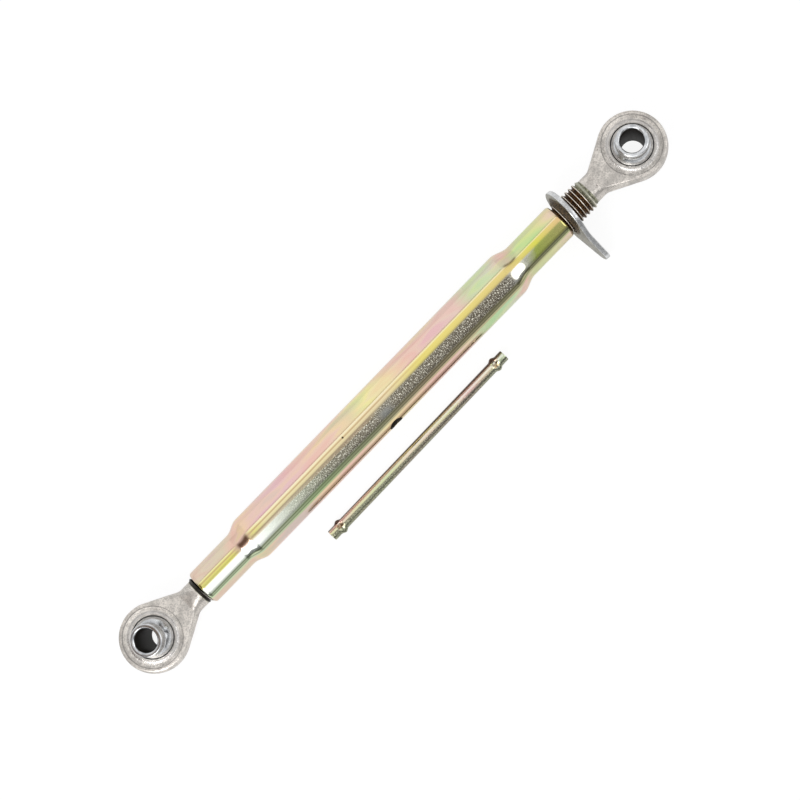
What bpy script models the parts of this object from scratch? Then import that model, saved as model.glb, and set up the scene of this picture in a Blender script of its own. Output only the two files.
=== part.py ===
"""Category 1 tractor top link, lying on a table with its tommy bar beside it.

The link lies along X with its upper end at +X, and stands on z = 0. Lengths are metres, angles
degrees. Each eye is made in its own frame, at the centre of its ball, with its shank along +x.
"""

import math

import bmesh
import bpy
from mathutils import Matrix, Vector

# Threads: each shank is a plain rod of the thread's outer diameter
THREAD_DIAMETER = 0.0264
THREAD_CLEARANCE = 0.0003

# Barrel: one tube, swaged down at both ends and tapped there
BARREL_LENGTH = 0.4064
BARREL_DIAMETER = 0.0394
BARREL_WALL = 0.0036
SWAGE_WALL = 0.0020
UPPER_SWAGE_LENGTH = 0.0467
LOWER_SWAGE_LENGTH = 0.0436
SWAGE_TAPER_LENGTH = 0.0127
RIM_ROUND_SHARE = 0.7
RIM_ROUND_LENGTH = 0.0025
BORE_LEAD = 0.0004

# Balls: a sphere with a sleeve on each side and a pin bore
PIN_BORE_DIAMETER = 0.0193
PIN_BORE_CHAMFER = 0.0007
SLEEVE_WALL = 0.00365
SLEEVE_CHAMFER = 0.0010
SLEEVE_FILLET = 0.0015
BALL_DIAMETER = 0.0370
BALL_WIDTH = 0.0440
BALL_CLEARANCE = 0.0003
UPPER_BALL_TILT = -1.5
LOWER_BALL_TILT = -10.5

# Eyes: one forging, flattened on both faces, with the ball staked in
EYE_WALL = 0.0097
EYE_THICKNESS = 0.0170
EYE_TAPER_ANGLE = 27.5
NECK_DIAMETER = 0.0228
NECK_FILLET = 0.0090
NECK_LENGTH = 0.0080
RAMP_LENGTH = 0.0124
THREAD_RUN_IN = 0.0022
SHANK_LENGTH = 0.1700
SHANK_CHAMFER = 0.0020
UPPER_THREAD_SHOWN = 0.0315
LOWER_THREAD_SHOWN = 0.0045
STAKE_LIP_WIDTH = 0.0036
STAKE_LIP_DROP = 0.0006
STAKE_GROOVE_WIDTH = 0.0041
STAKE_GROOVE_DEPTH = 0.0015
STAKE_GROOVE_SLOPE = 0.0008

# Tommy bar: round bar with ears pinched near both ends, so that it can't fall through the hole
TOMMY_LENGTH = 0.1990
TOMMY_DIAMETER = 0.0095
TOMMY_CHAMFER = 0.0006
TOMMY_EAR_CATCH = 0.0006
TOMMY_EAR_THICKNESS = 0.0068
TOMMY_EAR_LENGTH = 0.0080
TOMMY_EAR_FROM_END = 0.0105
TOMMY_FROM_BARREL = 0.01655
TOMMY_ALONG = -0.0032
TOMMY_YAW = 0.6

# Cross hole in the middle of the barrel, which the tommy bar goes through
CROSS_HOLE_CLEARANCE = 0.0025
CROSS_HOLE_LEAD = 0.0005
CROSS_HOLE_TURN = 85.0
CROSS_HOLE_ALONG = -0.0025

# Lock plate: lever lock nut, pressed from plate, with a drawn hub towards the barrel
PLATE_THICKNESS = 0.0043
PLATE_EDGE_ROUND = 0.0009
PLATE_HUB_WALL = 0.0021
PLATE_HUB_LENGTH = 0.0016
PLATE_HUB_FILLET = 0.0006
PLATE_RIM_WIDTH = 0.0074
PLATE_LEAN = 4.4
PLATE_NOD = 5.8
PLATE_TO_BARREL = 0.0029
HANDLE_REACH = 0.0415
HANDLE_TIP_DIAMETER = 0.0160
HANDLE_BEND_START = 0.0022
HANDLE_BEND_LENGTH = 0.0060
HANDLE_BEND_ANGLE = 8.4

# Facets of the round forms, the overrun of every cutter, and the shading
ROUND_SEGMENTS = 40
SMALL_SEGMENTS = 24
ARC_STEPS = 5
OVERRUN = 0.0050
MERGE = 0.00001
SHARP_ANGLE = 32.0

YELLOW_ZINC = {"colour": (0.62, 0.55, 0.30, 1.0), "roughness": 0.30, "metallic": 0.9}
SILVER_ZINC = {"colour": (0.66, 0.66, 0.67, 1.0), "roughness": 0.38, "metallic": 0.9}
POLISHED_STEEL = {"colour": (0.74, 0.74, 0.75, 1.0), "roughness": 0.22, "metallic": 1.0}

# Sizes that follow from the ones above
barrel_radius = BARREL_DIAMETER / 2
thread_radius = THREAD_DIAMETER / 2
bore_radius = thread_radius + THREAD_CLEARANCE
swage_radius = bore_radius + SWAGE_WALL
barrel_end = BARREL_LENGTH / 2

sleeve_radius = PIN_BORE_DIAMETER / 2 + SLEEVE_WALL
ball_radius = BALL_DIAMETER / 2
socket_radius = ball_radius + BALL_CLEARANCE
eye_radius = socket_radius + EYE_WALL
eye_face = EYE_THICKNESS / 2
neck_radius = NECK_DIAMETER / 2
stake_inner = math.sqrt(socket_radius ** 2 - eye_face ** 2) + STAKE_LIP_WIDTH
stake_outer = stake_inner + STAKE_GROOVE_WIDTH

taper = math.radians(EYE_TAPER_ANGLE)
taper_corner = (eye_radius - neck_radius * math.cos(taper)) / math.sin(taper)
neck_start = taper_corner + NECK_FILLET * math.tan(taper / 2)
thread_start = neck_start + NECK_LENGTH
shank_end = thread_start + SHANK_LENGTH
upper_eye_reach = thread_start + UPPER_THREAD_SHOWN
lower_eye_reach = thread_start + LOWER_THREAD_SHOWN

cross_hole_radius = (TOMMY_DIAMETER + CROSS_HOLE_CLEARANCE) / 2
tommy_radius = TOMMY_DIAMETER / 2
ear_half_width = cross_hole_radius + TOMMY_EAR_CATCH / 2
tommy_from_axis = barrel_radius + TOMMY_FROM_BARREL + tommy_radius

hub_radius = bore_radius + PLATE_HUB_WALL
head_radius = hub_radius + PLATE_RIM_WIDTH
tip_radius = HANDLE_TIP_DIAMETER / 2
plate_half = PLATE_THICKNESS / 2


def clear_scene():
    for obj in list(bpy.data.objects):
        bpy.data.objects.remove(obj, do_unlink=True)


def new_collection(name):
    collection = bpy.data.collections.new(name)
    bpy.context.scene.collection.children.link(collection)
    return collection


def new_object(name, data, collection, parent):
    obj = bpy.data.objects.new(name, data)
    collection.objects.link(obj)
    obj.parent = parent
    return obj


def new_material(name, look):
    material = bpy.data.materials.new(name)
    material.use_nodes = True
    shader = material.node_tree.nodes["Principled BSDF"]
    shader.inputs["Base Color"].default_value = look["colour"]
    shader.inputs["Roughness"].default_value = look["roughness"]
    shader.inputs["Metallic"].default_value = look["metallic"]
    material.diffuse_color = look["colour"]
    return material


def evaluated_mesh(obj):
    bpy.context.view_layer.update()
    depsgraph = bpy.context.evaluated_depsgraph_get()
    return bpy.data.meshes.new_from_object(obj.evaluated_get(depsgraph), depsgraph=depsgraph)


def bake(obj):
    """Keep what the modifiers make as the object's own mesh."""
    mesh = evaluated_mesh(obj)
    obj.modifiers.clear()
    obj.data = mesh
    return mesh


def complete(obj, look):
    """Bake the piece, shade it smooth with its real edges sharp, and give it its material."""
    mesh = bake(obj)
    mesh.shade_smooth()
    mesh.set_sharp_from_angle(angle=math.radians(SHARP_ANGLE))
    mesh.materials.clear()
    mesh.materials.append(new_material(obj.name, look))


def combine(obj, other, operation):
    other.hide_render = True
    other.display_type = "WIRE"
    boolean = obj.modifiers.new(other.name, "BOOLEAN")
    boolean.operation = operation
    boolean.solver = "EXACT"
    boolean.object = other


# Profiles and outlines: points (radius, height) or (along, across)

def arc(centre, radius, start, end, steps=ARC_STEPS):
    return oval_arc(centre, (radius, radius), start, end, steps)


def oval_arc(centre, radii, start, end, steps=ARC_STEPS):
    points = []
    for step in range(steps + 1):
        angle = math.radians(start + (end - start) * step / steps)
        points.append((centre[0] + radii[0] * math.cos(angle), centre[1] + radii[1] * math.sin(angle)))
    return points


def shoulder(start, end, steps):
    """The smooth shoulder between two diameters of a swaged tube, ends included."""
    points = []
    for step in range(steps + 1):
        share = step / steps
        blend = (1 - math.cos(math.pi * share)) / 2
        points.append((start[0] + (end[0] - start[0]) * blend, start[1] + (end[1] - start[1]) * share))
    return points


def turned(name, profile, collection, parent, ring=False, segments=ROUND_SEGMENTS):
    """A profile turned about the object's own z; a ring's profile is a closed loop."""
    count = len(profile)
    edges = [(index, index + 1) for index in range(count - 1)]
    if ring:
        edges.append((count - 1, 0))
    mesh = bpy.data.meshes.new(name)
    mesh.from_pydata([(radius, 0.0, height) for radius, height in profile], edges, [])
    obj = new_object(name, mesh, collection, parent)
    screw = obj.modifiers.new("turn", "SCREW")
    screw.steps = segments
    screw.render_steps = segments
    screw.use_merge_vertices = True
    screw.merge_threshold = MERGE
    return obj


def flat_solid(name, outline, thickness, collection, parent):
    """An outline in the object's xy plane, given its thickness on both sides of the plane."""
    curve = bpy.data.curves.new(name, "CURVE")
    curve.dimensions = "2D"
    curve.fill_mode = "BOTH"
    curve.extrude = thickness / 2
    spline = curve.splines.new("POLY")
    spline.points.add(len(outline) - 1)
    for point, (along, across) in zip(spline.points, outline):
        point.co = (along, across, 0.0, 1.0)
    spline.use_cyclic_u = True
    drawn = new_object(name + "_outline", curve, collection, parent)
    mesh = evaluated_mesh(drawn)
    bpy.data.objects.remove(drawn, do_unlink=True)
    shape = bmesh.new()
    shape.from_mesh(mesh)
    bmesh.ops.remove_doubles(shape, verts=shape.verts, dist=MERGE)
    bmesh.ops.recalc_face_normals(shape, faces=shape.faces)
    shape.to_mesh(mesh)
    shape.free()
    return new_object(name, mesh, collection, parent)


# Where things lie

def ball_reach(tilt):
    """How far below its centre a ball with this tilt reaches."""
    lean = math.radians(abs(tilt))
    half = BALL_WIDTH / 2
    at_face = half * math.cos(lean) + (sleeve_radius - SLEEVE_CHAMFER) * math.sin(lean)
    at_side = (half - SLEEVE_CHAMFER) * math.cos(lean) + sleeve_radius * math.sin(lean)
    return max(at_face, at_side)


def axis_height():
    """The height of the barrel's axis: whatever reaches lowest stands on the table."""
    return max(ball_reach(UPPER_BALL_TILT), ball_reach(LOWER_BALL_TILT), head_radius, barrel_radius)


def handle_droop():
    """The angle below level at which the leaning handle's tip comes to lie on the table."""
    lean = math.radians(PLATE_LEAN)
    tip_reach = tip_radius * math.cos(lean) + plate_half * math.sin(lean)
    return math.asin((axis_height() - tip_reach) / HANDLE_REACH)


def link_place():
    """The middle of the barrel, with the whole link's box centred over the origin."""
    handle = HANDLE_REACH * math.cos(handle_droop()) + tip_radius
    sway = math.sin(math.radians(TOMMY_YAW)) * (TOMMY_LENGTH / 2 - TOMMY_EAR_FROM_END)
    tommy = tommy_from_axis + ear_half_width + sway
    near_side = max(handle, tommy)
    return ((lower_eye_reach - upper_eye_reach) / 2, (near_side - eye_radius) / 2, axis_height())


# Barrel

def barrel_profile():
    """Down the outside from the upper rim, and back up the bore."""
    upper_shoulder = barrel_end - UPPER_SWAGE_LENGTH
    lower_shoulder = LOWER_SWAGE_LENGTH - barrel_end
    inner = barrel_radius - BARREL_WALL
    rim_depth = SWAGE_WALL * RIM_ROUND_SHARE
    rim_centre = swage_radius - rim_depth
    rim = (rim_depth, RIM_ROUND_LENGTH)
    profile = [(bore_radius + BORE_LEAD, barrel_end)]
    profile += oval_arc((rim_centre, barrel_end - RIM_ROUND_LENGTH), rim, 90, 0, 4)
    profile += shoulder((swage_radius, upper_shoulder), (barrel_radius, upper_shoulder - SWAGE_TAPER_LENGTH), 7)
    profile += shoulder((barrel_radius, lower_shoulder + SWAGE_TAPER_LENGTH), (swage_radius, lower_shoulder), 7)
    profile += oval_arc((rim_centre, RIM_ROUND_LENGTH - barrel_end), rim, 0, -90, 4)
    profile += [(bore_radius + BORE_LEAD, -barrel_end), (bore_radius, BORE_LEAD - barrel_end)]
    profile += shoulder((bore_radius, lower_shoulder), (inner, lower_shoulder + SWAGE_TAPER_LENGTH), 3)
    profile += shoulder((inner, upper_shoulder - SWAGE_TAPER_LENGTH), (bore_radius, upper_shoulder), 3)
    profile += [(bore_radius, barrel_end - BORE_LEAD)]
    return profile


def cross_hole(link, cutters):
    """A drill through both walls, with the lead that deburring leaves at each mouth."""
    mouth = math.sqrt(barrel_radius ** 2 - cross_hole_radius ** 2)
    lead = cross_hole_radius + CROSS_HOLE_LEAD
    upper = [(0.0, mouth + OVERRUN), (lead + OVERRUN, mouth + OVERRUN), (lead, mouth)]
    upper += [(cross_hole_radius, mouth - CROSS_HOLE_LEAD)]
    lower = [(radius, -height) for radius, height in reversed(upper)]
    hole = turned("cross_hole", upper + lower, cutters, link, segments=SMALL_SEGMENTS)
    hole.location.x = CROSS_HOLE_ALONG
    hole.rotation_euler = (math.radians(CROSS_HOLE_TURN), 0.0, 0.0)
    return hole


def make_barrel(link, parts, cutters):
    barrel = turned("barrel", barrel_profile(), parts, link, ring=True)
    barrel.rotation_euler = (0.0, math.radians(90), 0.0)
    combine(barrel, cross_hole(link, cutters), "DIFFERENCE")
    complete(barrel, YELLOW_ZINC)


# Eyes

def forging_profile():
    """The round blank of an eye: shank, neck and flare, closed by the eye's own sphere."""
    profile = [(0.0, shank_end), (thread_radius - SHANK_CHAMFER, shank_end)]
    profile += [(thread_radius, shank_end - SHANK_CHAMFER), (thread_radius, thread_start + THREAD_RUN_IN)]
    profile += [(neck_radius, thread_start)]
    profile += arc((neck_radius + NECK_FILLET, neck_start), NECK_FILLET, 180, 180 + EYE_TAPER_ANGLE)
    profile += arc((0.0, 0.0), eye_radius, EYE_TAPER_ANGLE, -90, 14)[:-1]
    profile += [(0.0, -eye_radius)]
    return profile


def flat_press(name, side, frame, cutters):
    """What the press takes off one face: level over the eye, then a ramp up to the neck."""
    ramp_start = thread_start - RAMP_LENGTH
    top = eye_radius + OVERRUN
    ramp_end = ramp_start + RAMP_LENGTH * (top - eye_face) / (neck_radius - eye_face)
    behind = -eye_radius - OVERRUN
    outline = [(behind, eye_face), (ramp_start, eye_face), (ramp_end, top), (behind, top)]
    outline = [(along, height * side) for along, height in outline]
    press = flat_solid(name, outline, 2 * top, cutters, frame)
    press.rotation_euler = (math.radians(90), 0.0, 0.0)
    return press


def stake_tool(name, turn, frame, cutters):
    """The staking punch: sinks the lip round the ball and leaves a groove outside it."""
    above = eye_face + OVERRUN
    lip = eye_face - STAKE_LIP_DROP
    root = eye_face - STAKE_GROOVE_DEPTH
    profile = [(0.0, above), (stake_outer, above), (stake_outer, eye_face)]
    profile += [(stake_outer - STAKE_GROOVE_SLOPE, root), (stake_inner + STAKE_GROOVE_SLOPE, root)]
    profile += [(stake_inner, lip), (0.0, lip)]
    tool = turned(name, profile, cutters, frame)
    tool.rotation_euler = (math.radians(turn), 0.0, 0.0)
    return tool


def make_eye(name, frame, parts, cutters):
    eye = turned(name, forging_profile(), parts, frame)
    eye.rotation_euler = (0.0, math.radians(90), 0.0)
    socket = [(0.0, socket_radius)] + arc((0.0, 0.0), socket_radius, 90, -90, 18)[1:-1]
    socket += [(0.0, -socket_radius)]
    combine(eye, flat_press(name + "_top_press", 1, frame, cutters), "DIFFERENCE")
    combine(eye, flat_press(name + "_bottom_press", -1, frame, cutters), "DIFFERENCE")
    combine(eye, stake_tool(name + "_top_stake", 0, frame, cutters), "DIFFERENCE")
    combine(eye, stake_tool(name + "_bottom_stake", 180, frame, cutters), "DIFFERENCE")
    combine(eye, turned(name + "_socket", socket, cutters, frame), "DIFFERENCE")
    complete(eye, SILVER_ZINC)


# Balls

def ball_profile():
    """Down the outside, sleeve, fillet, sphere, fillet and sleeve, then up the pin bore."""
    half = BALL_WIDTH / 2
    bore = PIN_BORE_DIAMETER / 2
    fillet_out = sleeve_radius + SLEEVE_FILLET
    fillet_up = math.sqrt((ball_radius + SLEEVE_FILLET) ** 2 - fillet_out ** 2)
    meet = math.degrees(math.atan2(fillet_up, fillet_out))
    profile = [(bore + PIN_BORE_CHAMFER, half), (sleeve_radius - SLEEVE_CHAMFER, half)]
    profile += [(sleeve_radius, half - SLEEVE_CHAMFER)]
    profile += arc((fillet_out, fillet_up), SLEEVE_FILLET, 180, 180 + meet, 2)
    profile += arc((0.0, 0.0), ball_radius, meet, -meet, 10)[1:-1]
    profile += arc((fillet_out, -fillet_up), SLEEVE_FILLET, 180 - meet, 180, 2)
    profile += [(sleeve_radius, SLEEVE_CHAMFER - half), (sleeve_radius - SLEEVE_CHAMFER, -half)]
    profile += [(bore + PIN_BORE_CHAMFER, -half), (bore, PIN_BORE_CHAMFER - half)]
    profile += [(bore, half - PIN_BORE_CHAMFER)]
    return profile


def make_ball(name, tilt, frame, parts):
    ball = turned(name, ball_profile(), parts, frame, ring=True)
    ball.rotation_euler = (0.0, math.radians(tilt), 0.0)
    complete(ball, POLISHED_STEEL)


# Lock plate: its own x runs out along the handle, and its z towards the barrel

def plate_outline():
    """A round head drawn out to a round tip, with the straight flanks tangent to both."""
    lean = math.degrees(math.asin((head_radius - tip_radius) / HANDLE_REACH))
    around_tip = arc((HANDLE_REACH, 0.0), tip_radius, lean - 90, 90 - lean, 10)
    around_head = arc((0.0, 0.0), head_radius, 90 - lean, 270 + lean, 26)
    return around_tip + around_head


def plate_hub(plate, cutters):
    """The drawn hub stands square to the shank, and its foot follows the plate's lean and nod."""
    hub_end = plate_half + PLATE_HUB_LENGTH
    foot = hub_radius + PLATE_HUB_FILLET
    profile = [(0.0, hub_end), (hub_radius - PLATE_EDGE_ROUND, hub_end)]
    profile += [(hub_radius, hub_end - PLATE_EDGE_ROUND)]
    profile += arc((foot, plate_half + PLATE_HUB_FILLET), PLATE_HUB_FILLET, 180, 270, 3)
    profile += [(foot, 0.0), (0.0, 0.0)]
    hub = turned("lock_plate_hub", profile, cutters, plate)
    for vertex in bake(hub).vertices:
        if vertex.co.xy.length > hub_radius + MERGE:
            vertex.co.z += vertex.co.x * math.tan(math.radians(PLATE_NOD))
            vertex.co.z -= vertex.co.y * math.tan(math.radians(PLATE_LEAN))
    return hub


def plate_tap(plate, cutters):
    hub_end = plate_half + PLATE_HUB_LENGTH
    lead = bore_radius + BORE_LEAD
    behind = plate_half + head_radius * math.tan(math.radians(PLATE_LEAN + PLATE_NOD)) + OVERRUN
    profile = [(0.0, hub_end + OVERRUN), (lead + OVERRUN, hub_end + OVERRUN), (lead, hub_end)]
    profile += [(bore_radius, hub_end - BORE_LEAD), (bore_radius, -behind), (0.0, -behind)]
    return turned("lock_plate_tap", profile, cutters, plate)


def bend_handle(mesh):
    """Bend the handle away from the barrel, with a short easy bend past the hub."""
    slope = math.tan(math.radians(HANDLE_BEND_ANGLE))
    bend_start = hub_radius + HANDLE_BEND_START
    shape = bmesh.new()
    shape.from_mesh(mesh)
    for step in range(4):
        cut = Vector((bend_start + HANDLE_BEND_LENGTH * step / 3, 0.0, 0.0))
        everything = shape.verts[:] + shape.edges[:] + shape.faces[:]
        bmesh.ops.bisect_plane(shape, geom=everything, plane_co=cut, plane_no=Vector((1.0, 0.0, 0.0)))
    for vertex in shape.verts:
        past = vertex.co.x - bend_start
        if past > 0:
            eased = min(past, HANDLE_BEND_LENGTH)
            vertex.co.z -= slope * (eased ** 2 / (2 * HANDLE_BEND_LENGTH) + past - eased)
    shape.to_mesh(mesh)
    shape.free()


def make_lock_plate(frame, parts, cutters):
    plate = flat_solid("lock_plate", plate_outline(), PLATE_THICKNESS, parts, frame)
    nod = Matrix.Rotation(math.radians(-PLATE_NOD), 4, "Y")
    plate.data.transform(nod @ Matrix.Rotation(math.radians(-PLATE_LEAN), 4, "X"))
    bevel = plate.modifiers.new("rounded edge", "BEVEL")
    bevel.width = PLATE_EDGE_ROUND
    bevel.segments = 2
    bevel.limit_method = "ANGLE"
    bevel.angle_limit = math.radians(60)
    combine(plate, plate_hub(plate, cutters), "UNION")
    combine(plate, plate_tap(plate, cutters), "DIFFERENCE")
    bend_handle(bake(plate))
    droop = handle_droop()
    handle_way = Vector((0.0, math.cos(droop), -math.sin(droop)))
    hub_way = Vector((1.0, 0.0, 0.0))
    across = hub_way.cross(handle_way)
    plate.location.x = upper_eye_reach - PLATE_TO_BARREL - PLATE_HUB_LENGTH - plate_half
    plate.rotation_euler = Matrix((handle_way, across, hub_way)).transposed().to_euler()
    complete(plate, SILVER_ZINC)


# Tommy bar

def tommy_profile():
    """A round bar with close stations where the ears are pinched."""
    end = TOMMY_LENGTH / 2
    ear = end - TOMMY_EAR_FROM_END
    stations = [ear + TOMMY_EAR_LENGTH * (1 / 2 - step / 8) for step in range(9)]
    upper = [(0.0, end), (tommy_radius - TOMMY_CHAMFER, end), (tommy_radius, end - TOMMY_CHAMFER)]
    upper += [(tommy_radius, height) for height in stations]
    return upper + [(radius, -height) for radius, height in reversed(upper)]


def pinch_ears(mesh):
    """Squash the bar near both ends: thinner upright, wider level."""
    ear = TOMMY_LENGTH / 2 - TOMMY_EAR_FROM_END
    wider = ear_half_width / tommy_radius - 1
    thinner = TOMMY_EAR_THICKNESS / TOMMY_DIAMETER - 1
    for vertex in mesh.vertices:
        away = abs(abs(vertex.co.z) - ear) / (TOMMY_EAR_LENGTH / 2)
        if away < 1:
            amount = (1 + math.cos(math.pi * away)) / 2
            vertex.co.y *= 1 + wider * amount
            vertex.co.x *= 1 + thinner * amount


def make_tommy_bar(link, parts):
    bar = turned("tommy_bar", tommy_profile(), parts, link, segments=SMALL_SEGMENTS)
    pinch_ears(bake(bar))
    bar.location = (TOMMY_ALONG, -tommy_from_axis, tommy_radius - axis_height())
    bar.rotation_euler = (0.0, math.radians(90), math.radians(TOMMY_YAW))
    complete(bar, YELLOW_ZINC)


def build():
    clear_scene()
    parts = new_collection("tractor_top_link")
    cutters = new_collection("cutters")
    link = new_object("link_frame", None, parts, None)
    link.location = link_place()
    lower_frame = new_object("lower_end_frame", None, parts, link)
    lower_frame.location.x = -barrel_end - lower_eye_reach
    upper_frame = new_object("upper_end_frame", None, parts, link)
    upper_frame.location.x = barrel_end + upper_eye_reach
    upper_frame.rotation_euler.z = math.radians(180)
    make_barrel(link, parts, cutters)
    make_eye("lower_eye", lower_frame, parts, cutters)
    make_ball("lower_ball", LOWER_BALL_TILT, lower_frame, parts)
    make_eye("upper_eye", upper_frame, parts, cutters)
    make_ball("upper_ball", UPPER_BALL_TILT, upper_frame, parts)
    make_lock_plate(upper_frame, parts, cutters)
    make_tommy_bar(link, parts)


build()
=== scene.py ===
"""Tractor top link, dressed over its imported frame. Lengths are metres, angles degrees."""

import math

import bmesh
import bpy
from mathutils import Matrix, Vector, noise


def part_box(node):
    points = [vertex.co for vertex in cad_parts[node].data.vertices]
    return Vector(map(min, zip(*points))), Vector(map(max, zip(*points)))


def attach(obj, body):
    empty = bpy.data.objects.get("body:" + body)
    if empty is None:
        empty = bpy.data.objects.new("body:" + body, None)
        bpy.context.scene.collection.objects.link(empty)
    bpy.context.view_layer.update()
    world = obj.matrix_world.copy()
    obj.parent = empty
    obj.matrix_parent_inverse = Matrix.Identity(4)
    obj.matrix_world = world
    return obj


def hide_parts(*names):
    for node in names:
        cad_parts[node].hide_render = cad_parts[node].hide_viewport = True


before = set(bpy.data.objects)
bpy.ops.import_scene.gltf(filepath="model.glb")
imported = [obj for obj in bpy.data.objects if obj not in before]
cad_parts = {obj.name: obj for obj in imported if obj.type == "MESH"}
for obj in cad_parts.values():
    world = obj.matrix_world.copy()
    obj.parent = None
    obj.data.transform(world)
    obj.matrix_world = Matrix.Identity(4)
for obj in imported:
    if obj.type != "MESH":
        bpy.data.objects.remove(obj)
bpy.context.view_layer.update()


# Barrel
# One steel tube, swaged down at both ends over a mandrel, tapped there and cross-drilled in the
# middle. It is yellow passivated zinc plate, whose film shows pink, green and gold patches.

BARREL_RADIUS = 0.0197
SWAGE_RADIUS = 0.0155
BORE_RADIUS = 0.0135
BORE_LEAD = 0.0004
LEAD_DEPTH = 0.0006
TUBE_INSIDE = 0.0161
UPPER_SWAGE = 0.0467
LOWER_SWAGE = 0.0436
SWAGE_TAPER = 0.0127
UPPER_EASE = 0.0018
LOWER_EASE = 0.0008
RIM_ROUND = 0.0016
RIM_DEPTH = 0.0024
EDGE_LOOP = 0.0012
HOLE_LOOP = 0.0120
CROSS_HOLE_RADIUS = 0.0062
CROSS_HOLE_ALONG = -0.0025
CROSS_HOLE_TURN = 83.5
CROSS_HOLE_LEAD = [(0.0003, 0.0), (0.0001, 0.0002), (0.0, 0.0005)]
DRILL_REACH = 0.03

barrel_low, barrel_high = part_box("barrel")
barrel_centre = (barrel_low + barrel_high) / 2
barrel_end = (barrel_high.x - barrel_low.x) / 2


def alone():
    """Nothing selected, so that an operator reaches only what is selected next."""
    bpy.ops.object.select_all(action="DESELECT")


def only(piece):
    alone()
    piece.select_set(True)
    bpy.context.view_layer.objects.active = piece


def draw(name, profile):
    """One vertex drawn along a profile of (radius, height) points, left in edit mode."""
    alone()
    bpy.ops.mesh.primitive_plane_add(size=0.01)
    piece = bpy.context.object
    piece.name = name
    piece.data.name = name
    bpy.ops.object.mode_set(mode="EDIT")
    bpy.ops.mesh.merge(type="CENTER")
    bpy.ops.transform.translate(value=(profile[0][0], 0.0, profile[0][1]))
    for (radius, height), (next_radius, next_height) in zip(profile, profile[1:]):
        step = (next_radius - radius, 0.0, next_height - height)
        bpy.ops.mesh.extrude_vertices_move(TRANSFORM_OT_translate={"value": step})
    return piece


def lathe(name, profile, segments=128):
    """A profile spun about z."""
    piece = draw(name, profile)
    bpy.ops.mesh.select_all(action="SELECT")
    bpy.ops.mesh.spin(steps=segments, angle=math.tau, center=(0.0, 0.0, 0.0), axis=(0.0, 0.0, 1.0))
    bpy.ops.mesh.select_all(action="SELECT")
    bpy.ops.mesh.remove_doubles(threshold=0.000004)
    bpy.ops.mesh.normals_make_consistent(inside=False)
    bpy.ops.object.mode_set(mode="OBJECT")
    return piece


def put(piece, place, turn=None):
    """Turn and move a piece, and keep that in its mesh."""
    matrix = Matrix.Translation(place)
    if turn is not None:
        matrix = matrix @ turn.to_4x4()
    piece.data.transform(matrix)
    piece.data.update()


def turned(degrees, axis):
    return Matrix.Rotation(math.radians(degrees), 3, axis)


def apply_modifiers(piece):
    only(piece)
    for modifier in list(piece.modifiers):
        bpy.ops.object.modifier_apply(modifier=modifier.name)


def combine(piece, tool, operation="DIFFERENCE"):
    boolean = piece.modifiers.new("joined", "BOOLEAN")
    boolean.operation = operation
    boolean.solver = "MANIFOLD"
    boolean.object = tool
    apply_modifiers(piece)
    bpy.data.objects.remove(tool, do_unlink=True)


def shade(piece, angle=30):
    only(piece)
    bpy.ops.object.shade_smooth_by_angle(angle=math.radians(angle))


def arc(centre, radii, start, end, steps):
    points = []
    for step in range(steps + 1):
        angle = math.radians(start + (end - start) * step / steps)
        points.append((centre[0] + radii[0] * math.cos(angle), centre[1] + radii[1] * math.sin(angle)))
    return points


def shoulder(start, end, steps=14):
    """The smooth shoulder between two diameters of a swaged tube."""
    points = []
    for step in range(steps + 1):
        share = step / steps
        eased = (1 - math.cos(math.pi * share)) / 2
        points.append((start[0] + (end[0] - start[0]) * eased, start[1] + (end[1] - start[1]) * share))
    return points


upper_shoulder = barrel_end - UPPER_SWAGE
lower_shoulder = LOWER_SWAGE - barrel_end
rim = (RIM_ROUND, RIM_DEPTH)
rim_centre = SWAGE_RADIUS - RIM_ROUND
tube = [(BORE_RADIUS + BORE_LEAD, barrel_end)]
tube += arc((rim_centre, barrel_end - RIM_DEPTH), rim, 90, 0, 8)
upper_start, upper_end = upper_shoulder + UPPER_EASE, upper_shoulder - SWAGE_TAPER - UPPER_EASE
lower_start, lower_end = lower_shoulder + SWAGE_TAPER + LOWER_EASE, lower_shoulder - LOWER_EASE
tube += [(SWAGE_RADIUS, barrel_end - RIM_DEPTH - EDGE_LOOP), (SWAGE_RADIUS, upper_start + EDGE_LOOP)]
tube += shoulder((SWAGE_RADIUS, upper_start), (BARREL_RADIUS, upper_end))
tube += [(BARREL_RADIUS, upper_end - EDGE_LOOP), (BARREL_RADIUS, CROSS_HOLE_ALONG + HOLE_LOOP)]
tube += [(BARREL_RADIUS, CROSS_HOLE_ALONG - HOLE_LOOP), (BARREL_RADIUS, lower_start + EDGE_LOOP)]
tube += shoulder((BARREL_RADIUS, lower_start), (SWAGE_RADIUS, lower_end))
tube += [(SWAGE_RADIUS, lower_end - EDGE_LOOP), (SWAGE_RADIUS, RIM_DEPTH + EDGE_LOOP - barrel_end)]
tube += arc((rim_centre, RIM_DEPTH - barrel_end), rim, 0, -90, 8)
tube += [(BORE_RADIUS + BORE_LEAD, -barrel_end), (BORE_RADIUS, LEAD_DEPTH - barrel_end)]
tube += shoulder((BORE_RADIUS, lower_shoulder), (TUBE_INSIDE, lower_shoulder + SWAGE_TAPER), 5)
tube += shoulder((TUBE_INSIDE, upper_shoulder - SWAGE_TAPER), (BORE_RADIUS, upper_shoulder), 5)
tube += [(BORE_RADIUS, barrel_end - LEAD_DEPTH), (BORE_RADIUS + BORE_LEAD, barrel_end)]
barrel = lathe("barrel_tube", tube, 160)
put(barrel, (0, 0, 0), turned(90, "Y"))

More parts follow.
